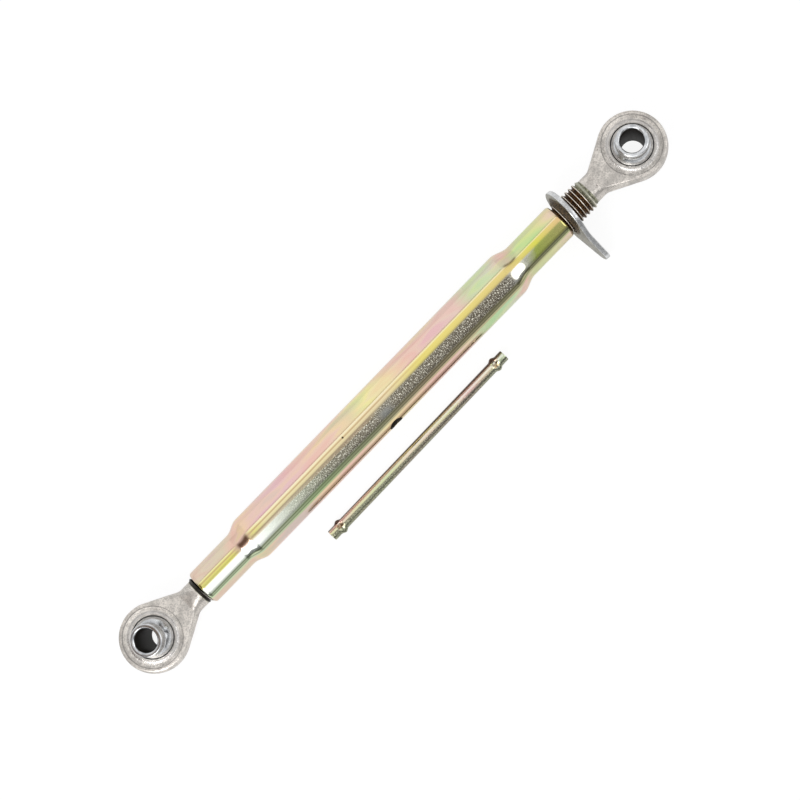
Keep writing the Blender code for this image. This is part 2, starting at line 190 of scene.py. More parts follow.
mouth = math.sqrt(BARREL_RADIUS ** 2 - CROSS_HOLE_RADIUS ** 2)
drill = [(0.0, DRILL_REACH), (CROSS_HOLE_RADIUS + CROSS_HOLE_LEAD[0][0], DRILL_REACH)]
drill += [(CROSS_HOLE_RADIUS + out, mouth - down) for out, down in CROSS_HOLE_LEAD]
drill += [(radius, -height) for radius, height in reversed(drill)]
hole = lathe("cross_drill", drill, 64)
put(hole, (CROSS_HOLE_ALONG, 0, 0), turned(CROSS_HOLE_TURN, "X"))
combine(barrel, hole)
put(barrel, barrel_centre)
shade(barrel)
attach(barrel, "barrel")
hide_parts("barrel")


def add(tree, kind, inputs, **settings):
    """A node with its settings, each input set to a value or joined to an output."""
    node = tree.nodes.new(kind)
    for name, value in settings.items():
        setattr(node, name, value)
    for name, value in inputs.items():
        if isinstance(value, bpy.types.NodeSocket):
            tree.links.new(value, node.inputs[name])
        else:
            node.inputs[name].default_value = value
    return node


def calculate(tree, operation, *values):
    return add(tree, "ShaderNodeMath", dict(enumerate(values)), operation=operation).outputs[0]


def times(tree, first, second):
    return calculate(tree, "MULTIPLY", first, second)


def plus(tree, first, second):
    return calculate(tree, "ADD", first, second)


def minus(tree, first, second):
    return calculate(tree, "SUBTRACT", first, second)


def from_axis(tree, first, second):
    """How far a point is from an axis, from its two coordinates across it."""
    return calculate(tree, "SQRT", plus(tree, times(tree, first, first), times(tree, second, second)))


def spread(tree, value, low, high):
    """Nought below low, one above high, and smooth between; low may be the greater."""
    inputs = {"Value": value, "From Min": low, "From Max": high}
    return add(tree, "ShaderNodeMapRange", inputs, interpolation_type="SMOOTHSTEP").outputs["Result"]


def strip(tree, value, low, high, soft):
    """One between low and high, with soft edges."""
    risen = spread(tree, value, low - soft, low + soft)
    return times(tree, risen, spread(tree, value, high + soft, high - soft))


def ramp(tree, value, stops):
    """A colour ramp with a stop at each (position, colour)."""
    node = add(tree, "ShaderNodeValToRGB", {"Fac": value})
    marks = node.color_ramp.elements
    while len(marks) < len(stops):
        marks.new(0.5)
    for mark, (position, colour) in zip(marks, stops):
        mark.position = position
        mark.color = (*colour, 1.0)
    return node.outputs["Color"]


def blend(tree, amount, first, second):
    """The first colour, mixed by the amount with the second."""
    first, second = ((*tone, 1.0) if isinstance(tone, tuple) else tone for tone in (first, second))
    return add(tree, "ShaderNodeMix", {0: amount, 6: first, 7: second}, data_type="RGBA").outputs[2]


def group(name, inputs, outputs):
    """An empty node group, with its input and output nodes."""
    tree = bpy.data.node_groups.new(name, "ShaderNodeTree")
    for socket, kind, value in inputs:
        made = tree.interface.new_socket(socket, in_out="INPUT", socket_type=kind)
        if value is not None:
            made.default_value = value
    for socket, kind in outputs:
        tree.interface.new_socket(socket, in_out="OUTPUT", socket_type=kind)
    return tree, tree.nodes.new("NodeGroupInput").outputs, tree.nodes.new("NodeGroupOutput").inputs


def place_group(tree, kind, place, grain_size):
    inputs = {"Place": place, "Grain size": grain_size}
    return add(tree, "ShaderNodeGroup", inputs, node_tree=kind).outputs


def plated(piece, name):
    """A new material on the piece: its node tree, shader and object coordinates."""
    material = bpy.data.materials.new(name)
    material.use_nodes = True
    tree = material.node_tree
    piece.data.materials.clear()
    piece.data.materials.append(material)
    place = tree.nodes.new("ShaderNodeTexCoord").outputs["Object"]
    return tree, tree.nodes["Principled BSDF"].inputs, place


def bumped(tree, shader, height, distance):
    bump = add(tree, "ShaderNodeBump", {"Height": height, "Distance": distance})
    tree.links.new(bump.outputs["Normal"], shader["Normal"])


def noise_at(tree, place, scale, detail, roughness=0.5):
    inputs = {"Vector": place, "Scale": scale, "Detail": detail, "Roughness": roughness}
    return add(tree, "ShaderNodeTexNoise", inputs).outputs


def centred_on(tree, place, centre):
    return add(tree, "ShaderNodeMapping", {"Vector": place, "Location": -centre}).outputs["Vector"]


# Round a bar or tube along x: the angle from its top, towards +y, and a grain drawn out round it
GRAIN_DRAW = 2.4
FILM_SCALE = (16.0, 70.0, 70.0)
around, given, result = group(
    "around_the_bar",
    [("Place", "NodeSocketVector", None), ("Grain size", "NodeSocketFloat", 0.001)],
    [("Angle", "NodeSocketFloat"), ("Along", "NodeSocketFloat"), ("Radius", "NodeSocketFloat"),
     ("Film", "NodeSocketColor"), ("Grain", "NodeSocketFloat"), ("Speckle", "NodeSocketFloat")])
parts = add(around, "ShaderNodeSeparateXYZ", {"Vector": given["Place"]}).outputs
angle = calculate(around, "ARCTAN2", parts["Y"], parts["Z"])
around.links.new(angle, result["Angle"])
around.links.new(parts["X"], result["Along"])
radius = from_axis(around, parts["Y"], parts["Z"])
around.links.new(radius, result["Radius"])
lengthwise = calculate(around, "DIVIDE", parts["X"], given["Grain size"])
girth = times(around, angle, radius)
crosswise = calculate(around, "DIVIDE", girth, times(around, given["Grain size"], GRAIN_DRAW))
rolled = add(around, "ShaderNodeCombineXYZ", {"X": lengthwise, "Y": crosswise}).outputs[0]
around.links.new(noise_at(around, rolled, 1.0, 2.0, 0.6)["Fac"], result["Grain"])
speck = noise_at(around, rolled, 0.8, 1.0, 0.6)["Fac"]
around.links.new(spread(around, speck, 0.50, 0.66), result["Speckle"])
inputs = {"Vector": given["Place"], "Scale": FILM_SCALE}
drift = add(around, "ShaderNodeMapping", inputs).outputs["Vector"]
film = noise_at(around, drift, 1.0, 2.0, 0.45)["Color"]
around.links.new(film, result["Film"])

CREAM = (0.84, 0.68, 0.54)
PINK = (0.84, 0.53, 0.46)
MAUVE = (0.78, 0.46, 0.56)
GREEN = (0.50, 0.70, 0.38)
YELLOW = (0.88, 0.80, 0.38)
BROWN = (0.52, 0.36, 0.24)
TAN = (0.58, 0.40, 0.22)
DARK_SPECK = (0.16, 0.135, 0.10)
PALE_SPECK = (0.84, 0.82, 0.70)
SMUDGE = (0.21, 0.23, 0.24)
UNLIT = (0.035, 0.028, 0.020)

# Degrees round the barrel from its top, less than nought towards the front
GOLD_START = (8.5, 10.5)
PAINTED_HIGHLIGHT_LINE = (5.6, 9.0)
PAINTED_TAN_REFLECTION = (0.0, 3.6)
PAINTED_BROWN_REFLECTION = (-15.5, -7.2)
FRONT_START = (-6.5, -12.5)
SPECKLED = (-39.0, -11.0)
SMUDGED = (-44.0, -19.0)
GREEN_START = (-36.0, -41.0)
# Where two dark lines are painted across the green edge band: painted reflection lines
PAINTED_DARK_LINES = [(-43.0, -40.6), (-50.6, -48.0)]
FILM_AGAIN = (-54.5, -57.5)
# Where the tommy bar's reflection is painted along the front
PAINTED_BAR_REFLECTION = (-75.0, -64.5)
NICK_AT = (-0.0400, 0.0006, 0.0197)

tree, shader, place = plated(barrel, "yellow_zinc_tube")
centred = centred_on(tree, place, barrel_centre)
tube_look = place_group(tree, around, centred, 0.00058)
channels = add(tree, "ShaderNodeSeparateColor", {"Color": tube_look["Film"]}).outputs
wander = times(tree, minus(tree, channels["Red"], 0.5), 0.12)
towards = calculate(tree, "DIVIDE", tube_look["Along"], barrel_end)
along = plus(tree, plus(tree, times(tree, towards, 0.5), 0.5), wander)
degrees = times(tree, tube_look["Angle"], 180 / math.pi)
past = plus(tree, degrees, times(tree, minus(tree, channels["Blue"], 0.5), 3.0))

patches = ramp(tree, channels["Green"], [
    (0.34, GREEN), (0.44, YELLOW), (0.50, CREAM), (0.57, PINK), (0.64, (0.82, 0.70, 0.56)),
    (0.72, MAUVE)])
film_along = ramp(tree, along, [
    (0.00, (0.72, 0.60, 0.46)), (0.09, (0.66, 0.60, 0.42)), (0.13, (0.86, 0.54, 0.44)), (0.18, MAUVE),
    (0.25, MAUVE), (0.31, PINK), (0.42, (0.84, 0.60, 0.46)), (0.47, YELLOW), (0.53, YELLOW), (0.59, PINK),
    (0.72, (0.80, 0.58, 0.52)), (0.77, GREEN), (0.83, (0.54, 0.70, 0.50)), (0.87, PINK),
    (0.91, (0.50, 0.74, 0.30)), (0.95, (0.62, 0.74, 0.30)), (1.00, (0.80, 0.62, 0.46))])
film_over = blend(tree, 0.38, film_along, patches)

gold = ramp(tree, along, [
    (0.00, (0.78, 0.72, 0.24)), (0.12, (0.80, 0.74, 0.20)), (0.17, (0.90, 0.80, 0.46)),
    (0.50, (0.88, 0.74, 0.46)), (0.62, (0.86, 0.74, 0.22)), (0.85, (0.82, 0.66, 0.26)),
    (0.92, (0.76, 0.74, 0.12)), (1.00, (0.86, 0.58, 0.32))])
# A cream line painted along the gold band: a painted highlight.
gold = blend(tree, times(tree, strip(tree, past, *PAINTED_HIGHLIGHT_LINE, 0.8), 0.5), gold, (0.96, 0.90, 0.70))
# A tan line over the lower half of the gold band: a painted reflection line.
painted_tan_reflection = times(tree, strip(tree, past, *PAINTED_TAN_REFLECTION, 0.9), spread(tree, towards, 0.35, -0.05))
gold = blend(tree, times(tree, painted_tan_reflection, 0.8), gold, TAN)
# Browner over the lower taper, where the room's dark spot is reflected: painted reflection colour.
gold = blend(tree, strip(tree, towards, -0.80, -0.72, 0.03), gold, (0.66, 0.46, 0.38))
# A brown line along the front edge of the gold band: a painted reflection line.
painted_brown_reflection = times(tree, strip(tree, past, *PAINTED_BROWN_REFLECTION, 1.2), strip(tree, towards, -0.72, -0.05, 0.05))
gold = blend(tree, times(tree, painted_brown_reflection, 0.75), gold, BROWN)

# The front's tints follow its reflections: whitish where the highlights fall near the ends, dull olive in
# the middle under the dark side of the room; painted reflection colour.
front = ramp(tree, along, [
    (0.00, (0.88, 0.92, 0.84)), (0.16, (0.90, 0.94, 0.88)), (0.30, (0.70, 0.78, 0.60)),
    (0.42, (0.58, 0.54, 0.42)), (0.81, (0.58, 0.52, 0.40)), (0.86, (0.90, 0.90, 0.82)),
    (0.885, (0.88, 0.88, 0.72)), (0.91, (0.58, 0.68, 0.16)), (1.00, (0.62, 0.58, 0.22))])
speckled = times(tree, spread(tree, towards, -0.78, -0.30), spread(tree, towards, 0.715, 0.685))
smudge = strip(tree, tube_look["Along"], -0.0080, 0.0040, 0.0050)
smudge = times(tree, smudge, strip(tree, past, *SMUDGED, 7.0))
speckled = times(tree, speckled, minus(tree, 1.0, times(tree, smudge, 0.55)))
speckled = times(tree, speckled, strip(tree, past, *SPECKLED, 3.5))
specks = blend(tree, tube_look["Speckle"], DARK_SPECK, PALE_SPECK)
front = blend(tree, times(tree, speckled, 0.8), front, specks)
front = blend(tree, times(tree, smudge, 0.7), front, SMUDGE)
green_edge = ramp(tree, along, [
    (0.00, (0.62, 0.74, 0.48)), (0.18, (0.54, 0.60, 0.40)), (0.30, (0.42, 0.54, 0.28)),
    (0.42, (0.42, 0.44, 0.26)), (0.60, (0.54, 0.44, 0.28)), (1.00, (0.50, 0.52, 0.28))])
# Two dark lines painted across the green edge band: painted reflection lines.
drawn = calculate(tree, "MAXIMUM", *(strip(tree, past, *line, 0.8) for line in PAINTED_DARK_LINES))
green_edge = blend(tree, times(tree, drawn, 0.65), green_edge, (0.10, 0.12, 0.07))

later = plus(tree, past, times(tree, spread(tree, towards, -0.45, -0.80), 3.8))
colour = blend(tree, spread(tree, later, *FRONT_START), gold, front)
# Under the painted brown reflection line the gold is kept.
colour = blend(tree, times(tree, painted_brown_reflection, 0.6), colour, gold)
colour = blend(tree, spread(tree, past, *GREEN_START), colour, green_edge)
colour = blend(tree, spread(tree, past, *FILM_AGAIN), colour, film_over)
# A dark red-brown band on the front, as long as the tommy bar: the bar's reflection, painted.
painted_bar_reflection = times(tree, strip(tree, past, *PAINTED_BAR_REFLECTION, 1.5), strip(tree, towards, -0.49, 0.46, 0.03))
colour = blend(tree, times(tree, painted_bar_reflection, 0.6), colour, (0.36, 0.20, 0.13))
colour = blend(tree, spread(tree, past, *GOLD_START), colour, film_over)
nick = add(tree, "ShaderNodeVectorMath", {0: centred, 1: NICK_AT}, operation="DISTANCE").outputs["Value"]
colour = blend(tree, spread(tree, nick, 0.0011, 0.0006), colour, (0.06, 0.04, 0.02))
# The bore and the cross hole are painted near black: painted shade.
in_bore = spread(tree, tube_look["Radius"], BORE_RADIUS + 0.0006, BORE_RADIUS + 0.0003)
by_hole = calculate(tree, "ABSOLUTE", minus(tree, tube_look["Along"], CROSS_HOLE_ALONG))
in_hole = spread(tree, by_hole, CROSS_HOLE_RADIUS + 0.0010, CROSS_HOLE_RADIUS + 0.0008)
under_skin = spread(tree, tube_look["Radius"], BARREL_RADIUS - 0.00015, BARREL_RADIUS - 0.00035)
in_hole = times(tree, in_hole, under_skin)
unlit = calculate(tree, "MAXIMUM", in_bore, in_hole)
tree.links.new(blend(tree, unlit, colour, UNLIT), shader["Base Color"])
tree.links.new(minus(tree, 1.0, times(tree, unlit, 0.6)), shader["Metallic"])
matt = calculate(tree, "MAXIMUM", times(tree, speckled, tube_look["Speckle"]), smudge)
rough = times(tree, matt, 0.22)
rough = plus(tree, plus(tree, 0.11, rough), times(tree, unlit, 0.4))
tree.links.new(plus(tree, rough, times(tree, tube_look["Grain"], 0.05)), shader["Roughness"])
height = times(tree, tube_look["Grain"], plus(tree, 0.08, speckled))
bumped(tree, shader, height, 0.00005)


# Eyes
# Drop forgings, each an eye, a neck and a threaded shank in one piece: pressed flat on both faces,
# clear zinc plated, and staked over the ball, which leaves a lip and a groove round it.

EYE_RADIUS = 0.0285
EYE_FACE = 0.0085
EYE_TAPER = 27.5
NECK_RADIUS = 0.0114
NECK_FILLET = 0.0090
NECK_START = 0.04202
THREAD_START = 0.05002
RAMP_LENGTH = 0.0124
CORNER_ROUND = 0.0016
SOCKET_RADIUS = 0.0190
FORGED_WAVE = 0.00010
FORGED_WAVE_LENGTH = 0.006
FORGED_WAVE_FADE = 0.004
STEEPEST_CORNER = 84.0
CORNER_SPREAD = 7.0
FLANK_STEPS = 9
FACE_STEPS = 14
NOSE_STEPS = 40
EYE_STEPS = 34
FLARE_STEPS = 26
NOSE_ANGLES = (0.6, 58.6)
EYE_SHARE = 0.46
FLARE_END = 0.036
FORGED_OVERLAP = 0.0015

upper_low, upper_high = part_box("upper_ball")
lower_low, lower_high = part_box("lower_ball")
upper_eye_centre = Vector(((upper_low.x + upper_high.x) / 2, barrel_centre.y, barrel_centre.z))
lower_eye_centre = Vector(((lower_low.x + lower_high.x) / 2, barrel_centre.y, barrel_centre.z))


def blank_radius(along):
    """The radius of the round blank: eye, flare, fillet and neck."""
    taper = math.radians(EYE_TAPER)
    tangent = EYE_RADIUS * math.sin(taper)
    if along <= tangent:
        return math.sqrt(max(EYE_RADIUS ** 2 - along ** 2, 0.0))
    if along < NECK_START - NECK_FILLET * math.sin(taper):
        return EYE_RADIUS * math.cos(taper) - (along - tangent) * math.tan(taper)
    if along < NECK_START:
        return NECK_RADIUS + NECK_FILLET - math.sqrt(NECK_FILLET ** 2 - (NECK_START - along) ** 2)
    return NECK_RADIUS


def half_height(along):
    """Half the thickness that the press leaves: level over the eye, then a ramp to the neck."""
    ramp_start = THREAD_START - RAMP_LENGTH
    rise = (NECK_RADIUS - EYE_FACE) / RAMP_LENGTH
    return EYE_FACE + max(along - ramp_start, 0.0) * rise


def softer_least(first, second, width):
    """The lesser of two, eased over the width where they cross."""
    overlap = max(width - abs(first - second), 0.0) / width
    return min(first, second) - overlap ** 2 * width / 4


def forged_section(along):
    """One closed section of the forging, with its vertices crowded into the rounded corners."""
    radius = max(blank_radius(along), 0.00005)
    height = half_height(along)
    corner = min(math.degrees(math.asin(min(height / radius, 1.0))), STEEPEST_CORNER)
    either_way = min(CORNER_SPREAD, corner * 0.5)
    angles = [(corner - either_way) * step / FLANK_STEPS for step in range(FLANK_STEPS)]
    angles += [corner - either_way + 2 * either_way * step / FLANK_STEPS for step in range(FLANK_STEPS)]
    reach = 1 / math.tan(math.radians(min(corner + either_way, 88.0)))
    angles += [math.degrees(math.atan2(1, reach * (1 - step / FACE_STEPS))) for step in range(FACE_STEPS)]
    angles.append(90.0)
    quarter = []
    for value in angles:
        turn = math.radians(value)
        pressed = height / max(math.sin(turn), 0.01)
        quarter.append((turn, softer_least(radius, pressed, CORNER_ROUND)))
    ring = list(quarter)
    ring += [(math.pi - turn, size) for turn, size in reversed(quarter[:-1])]
    ring += [(math.pi + turn, size) for turn, size in quarter[1:]]
    ring += [(math.tau - turn, size) for turn, size in reversed(quarter[1:-1])]
    return [(along, size * math.cos(turn), size * math.sin(turn)) for turn, size in ring]


def evenly(start, end, steps):
    """The places after start, up to end."""
    return [start + (end - start) * step / steps for step in range(1, steps + 1)]


def forging_stations():
    """Where along the forging its sections stand, closest together round the eye's nose."""
    first, last = NOSE_ANGLES
    turned = [math.radians(first + (last - first) * step / NOSE_STEPS) for step in range(NOSE_STEPS)]
    stations = [-EYE_RADIUS * math.cos(turn) for turn in turned]
    stations += evenly(stations[-1], EYE_RADIUS * EYE_SHARE, EYE_STEPS)
    stations += evenly(stations[-1], FLARE_END, FLARE_STEPS)
    stations += evenly(FLARE_END, THREAD_START + FORGED_OVERLAP, FLARE_STEPS)
    return stations


def forge(name):
    """The pressed forging from the back of the eye to the start of the thread."""
    shape = bmesh.new()
    rings = []
    for along in forging_stations():
        ring = []
        for point in forged_section(along):
            wave = noise.noise(Vector(point) / FORGED_WAVE_LENGTH) * FORGED_WAVE
            length = max(math.hypot(point[1], point[2]), 0.0001)
            share = 1 + wave * min(length / FORGED_WAVE_FADE, 1.0) / length
            ring.append(shape.verts.new((point[0], point[1] * share, point[2] * share)))
        rings.append(ring)
    count = len(rings[0])
    for first, second in zip(rings, rings[1:]):
        for index in range(count):
            following = (index + 1) % count
            shape.faces.new((first[index], first[following], second[following], second[index]))
    shape.faces.new(list(reversed(rings[0])))
    shape.faces.new(rings[-1])
    bmesh.ops.recalc_face_normals(shape, faces=shape.faces)
    mesh = bpy.data.meshes.new(name)
    shape.to_mesh(mesh)
    shape.free()
    piece = bpy.data.objects.new(name, mesh)
    bpy.context.scene.collection.objects.link(piece)
    return piece


STAKE_PROFILE = [
    (0.0, 0.005), (0.0256, 0.005), (0.0252, 0.0006), (0.02500, 0.0001), (0.02485, -0.00005),
    (0.02470, -0.00018), (0.02455, -0.00036), (0.02435, -0.00052), (0.02400, -0.00070),
    (0.02350, -0.00092), (0.02300, -0.00111), (0.02250, -0.00127), (0.02200, -0.00140),
    (0.02150, -0.00148), (0.02110, -0.00150), (0.02075, -0.00142), (0.02045, -0.00124),
    (0.02020, -0.00100), (0.01995, -0.00078), (0.01960, -0.00062), (0.01910, -0.00053),
    (0.01850, -0.00052), (0.01800, -0.00060), (0.01765, -0.00075), (0.01742, -0.00098),
    (0.01732, -0.00125), (0.01715, -0.00160), (0.0, -0.0016)]
SOCKET_PROFILE = [(0.0, SOCKET_RADIUS)] + arc((0, 0), (SOCKET_RADIUS, SOCKET_RADIUS), 90, -90, 48)[1:-1]
SOCKET_PROFILE += [(0.0, -SOCKET_RADIUS)]

PITCH = 0.00376
THREAD_PHASE = 0.00454
CREST = 0.0132
ROOT = 0.01105
SHANK_END = 0.22002
SHANK_CHAMFER = 0.0022
RUN_IN = 0.0034
RUN_IN_EASE = 0.8
THREAD_STEPS = 64
CHAMFER_BELOW_ROOT = 0.0004
NEAR_AXIS = 0.001
TOOTH = [
    (0.00, 0.00), (0.06, 0.03), (0.12, 0.14), (0.20, 0.36), (0.38, 0.90), (0.43, 0.98), (0.47, 1.00),
    (0.53, 1.00), (0.57, 0.98), (0.62, 0.90), (0.80, 0.36), (0.88, 0.14), (0.94, 0.03), (1.00, 0.00)]


def thread(name, hand):
    """A rolled thread along x: one tooth drawn once round by the Screw modifier, turn after turn."""
    length = SHANK_END - THREAD_START
    piece = draw(name, [(ROOT + (CREST - ROOT) * rise, PITCH * share) for share, rise in TOOTH])
    bpy.ops.object.mode_set(mode="OBJECT")
    screw = piece.modifiers.new("turns", "SCREW")
    screw.axis = "Z"
    screw.steps = THREAD_STEPS
    screw.render_steps = THREAD_STEPS
    screw.iterations = int(length / PITCH) + 2
    screw.screw_offset = PITCH
    apply_modifiers(piece)
    bpy.ops.object.mode_set(mode="EDIT")
    bpy.ops.mesh.select_all(action="SELECT")
    bpy.ops.mesh.remove_doubles(threshold=0.00001)
    for cut_at, side in ((THREAD_PHASE, "clear_inner"), (THREAD_PHASE + length, "clear_outer")):
        cut = {"plane_co": (0, 0, cut_at), "plane_no": (0, 0, 1), "threshold": 0.000001, side: True}
        bpy.ops.mesh.bisect(use_fill=True, **cut)
        bpy.ops.mesh.select_all(action="SELECT")
    bpy.ops.mesh.normals_make_consistent(inside=False)
    bpy.ops.object.mode_set(mode="OBJECT")
    for vertex in piece.data.vertices:
        height = vertex.co.z - THREAD_PHASE
        radius = vertex.co.xy.length
        if radius < NEAR_AXIS:
            continue
        faded = ROOT + (CREST - ROOT) * min(max(height / RUN_IN, 0.0), 1.0) ** RUN_IN_EASE
        chamfer = CREST - max(height - length + SHANK_CHAMFER, 0.0)
        kept = min(radius, faded, max(chamfer, ROOT - CHAMFER_BELOW_ROOT))
        vertex.co.x *= kept / radius
        vertex.co.y *= kept / radius
        vertex.co.z = height + THREAD_START
    turn = turned(90, "Y")
    if hand < 0:
        turn = turn @ Matrix.Scale(-1, 3, (0, 1, 0))
    put(piece, (0, 0, 0), turn)
    shape = bmesh.new()
    shape.from_mesh(piece.data)
    if shape.calc_volume(signed=True) < 0:
        piece.data.flip_normals()
    shape.free()
    return piece


def make_eye(name, node, hand, place, turn):
    eye = forge(name)
    for side in (1, -1):
        stake = lathe("stake", [(radius, EYE_FACE + height) for radius, height in STAKE_PROFILE], 144)
        if side < 0:
            put(stake, (0, 0, 0), turned(180, "X"))
        combine(eye, stake)
    combine(eye, lathe("socket", SOCKET_PROFILE, 96))
    combine(eye, thread("shank", hand), "UNION")
    put(eye, place, turned(turn, "Z"))
    shade(eye, 36)
    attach(eye, node)
    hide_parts(node)
    return eye


# Fine pits and soft mottle of zinc plate over a forged or pressed skin
skin, given, result = group(
    "zinc_skin",
    [("Place", "NodeSocketVector", None), ("Grain size", "NodeSocketFloat", 0.001)],
    [("Mottle", "NodeSocketFloat"), ("Grain", "NodeSocketFloat"), ("Pits", "NodeSocketFloat")])
scaled = calculate(skin, "DIVIDE", 1.0, given["Grain size"])
skin.links.new(noise_at(skin, given["Place"], scaled, 3.0, 0.6)["Fac"], result["Grain"])
broad = noise_at(skin, given["Place"], times(skin, scaled, 0.12), 4.0, 0.62)["Fac"]
skin.links.new(spread(skin, broad, 0.32, 0.68), result["Mottle"])
inputs = {"Vector": given["Place"], "Scale": times(skin, scaled, 0.22)}
holes = add(skin, "ShaderNodeTexVoronoi", inputs).outputs
lone = noise_at(skin, given["Place"], times(skin, scaled, 0.3), 0.0)["Fac"]
pit = times(skin, spread(skin, holes["Distance"], 0.16, 0.05), spread(skin, lone, 0.56, 0.60))
skin.links.new(pit, result["Pits"])


ROLLED_RIM = (0.0188, 0.0212)
GROOVE = (0.0222, 0.0250)
GROOVE_EDGE_SHADE = (0.0243, 0.0248)
RUST_SCALE = 900.0
WIPED_DARK = (0.14, 0.135, 0.09)
WIPED_PALE = (0.50, 0.50, 0.36)
BARE_CREST = (0.98, 0.92, 0.82)


def thread_look(tree, place, away, radius, wiped_length, stain_and_shade):
    """Grease, staining and, on the lower eye, painted shade, but for a wiped start by the neck and the
    clean crests.
    """
    rust = noise_at(tree, place, RUST_SCALE, 2.0)["Fac"]
    greasy = blend(tree, spread(tree, rust, 0.46, 0.62), *stain_and_shade)
    wiped = spread(tree, away, THREAD_START + wiped_length, THREAD_START + 0.6 * wiped_length)
    wiped_look = blend(tree, spread(tree, rust, 0.40, 0.62), WIPED_DARK, WIPED_PALE)
    flank = spread(tree, radius, ROOT + 0.0002, CREST - 0.0003)
    wiped_look = blend(tree, times(tree, flank, 0.7), wiped_look, (0.66, 0.66, 0.54))
    greasy = blend(tree, wiped, greasy, wiped_look)
    crest = spread(tree, radius, CREST - 0.00007, CREST - 0.00002)
    return blend(tree, crest, greasy, BARE_CREST), crest


def finish_eye(eye, name, centre, wiped_length, stain_and_shade):
    """Mottled zinc with a rolled rim and a painted shade ring round the ball, and a thread darkened but
    for its wiped start.
    """
    tree, shader, place = plated(eye, name)
    look = place_group(tree, skin, place, 0.0011)
    colour = blend(tree, look["Mottle"], (0.54, 0.51, 0.475), (0.86, 0.81, 0.75))
    coarse = times(tree, spread(tree, look["Grain"], 0.46, 0.60), 0.48)
    colour = blend(tree, coarse, colour, (0.30, 0.285, 0.265))
    local = centred_on(tree, place, centre)
    parts = add(tree, "ShaderNodeSeparateXYZ", {"Vector": local}).outputs
    radius = from_axis(tree, parts["Y"], parts["Z"])
    away = calculate(tree, "ABSOLUTE", parts["X"])
    threaded = spread(tree, away, THREAD_START - 0.0004, THREAD_START + 0.0004)
    greasy, crest = thread_look(tree, place, away, radius, wiped_length, stain_and_shade)
    colour = blend(tree, times(tree, look["Pits"], 0.7), colour, (0.16, 0.13, 0.12))
    across = from_axis(tree, parts["X"], parts["Y"])
    rolled_in = strip(tree, across, *ROLLED_RIM, 0.0006)
    colour = blend(tree, times(tree, rolled_in, 0.3), colour, (0.56, 0.58, 0.61))
    # A dark ring along the groove's steep outer edge: painted shade.
    painted_groove_shade = strip(tree, across, *GROOVE_EDGE_SHADE, 0.0003)
    colour = blend(tree, times(tree, painted_groove_shade, 0.55), colour, (0.22, 0.21, 0.20))
    tree.links.new(blend(tree, threaded, colour, greasy), shader["Base Color"])
    grease = times(tree, threaded, minus(tree, 1.0, crest))
    tree.links.new(minus(tree, 1.0, times(tree, grease, 0.75)), shader["Metallic"])
    rough = plus(tree, 0.24, times(tree, look["Grain"], 0.20))
    rough = minus(tree, rough, times(tree, rolled_in, 0.08))
    rough = plus(tree, rough, times(tree, strip(tree, across, *GROOVE, 0.0006), 0.14))
    tree.links.new(rough, shader["Roughness"])
    on_side = spread(tree, calculate(tree, "ABSOLUTE", parts["Z"]), EYE_FACE - 0.0004, EYE_FACE - 0.0014)
    coarse = times(tree, look["Grain"], plus(tree, 1.0, times(tree, on_side, 1.4)))
    height = minus(tree, coarse, times(tree, look["Pits"], 1.6))
    bumped(tree, shader, height, 0.00018)


UPPER_WIPED = 0.0072
LOWER_WIPED = 0.0005
RUSTY = ((0.020, 0.008, 0.003), (0.27, 0.125, 0.030))
# Near black on the lower thread, where it shows in the gap at the barrel's end: dark grease, deepened by
# painted shade.
DARK_GREASE_AND_PAINTED_SHADE = ((0.010, 0.008, 0.006), (0.030, 0.022, 0.014))
upper_eye = make_eye("upper_eye_forging", "upper_eye", -1, upper_eye_centre, 180)
finish_eye(upper_eye, "clear_zinc_upper_eye", upper_eye_centre, UPPER_WIPED, RUSTY)
lower_eye = make_eye("lower_eye_forging", "lower_eye", 1, lower_eye_centre, 0)
finish_eye(lower_eye, "clear_zinc_lower_eye", lower_eye_centre, LOWER_WIPED, DARK_GREASE_AND_PAINTED_SHADE)


# Balls
# Turned from bar: a sphere with a short sleeve on each side and the pin bore through, bright zinc
# plated. Each is held in its eye by the staked lip and swivels there.

BALL_RADIUS = 0.0185
BALL_HALF_WIDTH = 0.0220
PIN_BORE = 0.00965
SLEEVE_RADIUS = 0.0133
SLEEVE_FILLET = 0.0015
CHAMFER_BREAK = 0.00006
TOOL_MARKS = 0.0005


def ball_half(chamfer, bore_chamfer):
    """From the bore's chamfer, its edges broken, round the outside, to the sphere's middle."""
    fillet_out = SLEEVE_RADIUS + SLEEVE_FILLET
    fillet_up = math.sqrt((BALL_RADIUS + SLEEVE_FILLET) ** 2 - fillet_out ** 2)
    meet = math.degrees(math.atan2(fillet_up, fillet_out))
    half = [(PIN_BORE, BALL_HALF_WIDTH - bore_chamfer * 1.15)]
    half += [(PIN_BORE + bore_chamfer * 0.08, BALL_HALF_WIDTH - bore_chamfer)]
    half += [(PIN_BORE + bore_chamfer * 0.92, BALL_HALF_WIDTH - CHAMFER_BREAK)]
    half += [(PIN_BORE + bore_chamfer * 1.1, BALL_HALF_WIDTH)]
    half += arc((SLEEVE_RADIUS - chamfer, BALL_HALF_WIDTH - chamfer), (chamfer, chamfer), 90, 0, 6)
    half += arc((fillet_out, fillet_up), (SLEEVE_FILLET, SLEEVE_FILLET), 180, 180 + meet, 6)
    half += arc((0, 0), (BALL_RADIUS, BALL_RADIUS), meet, 0, 20)[1:]
    return half


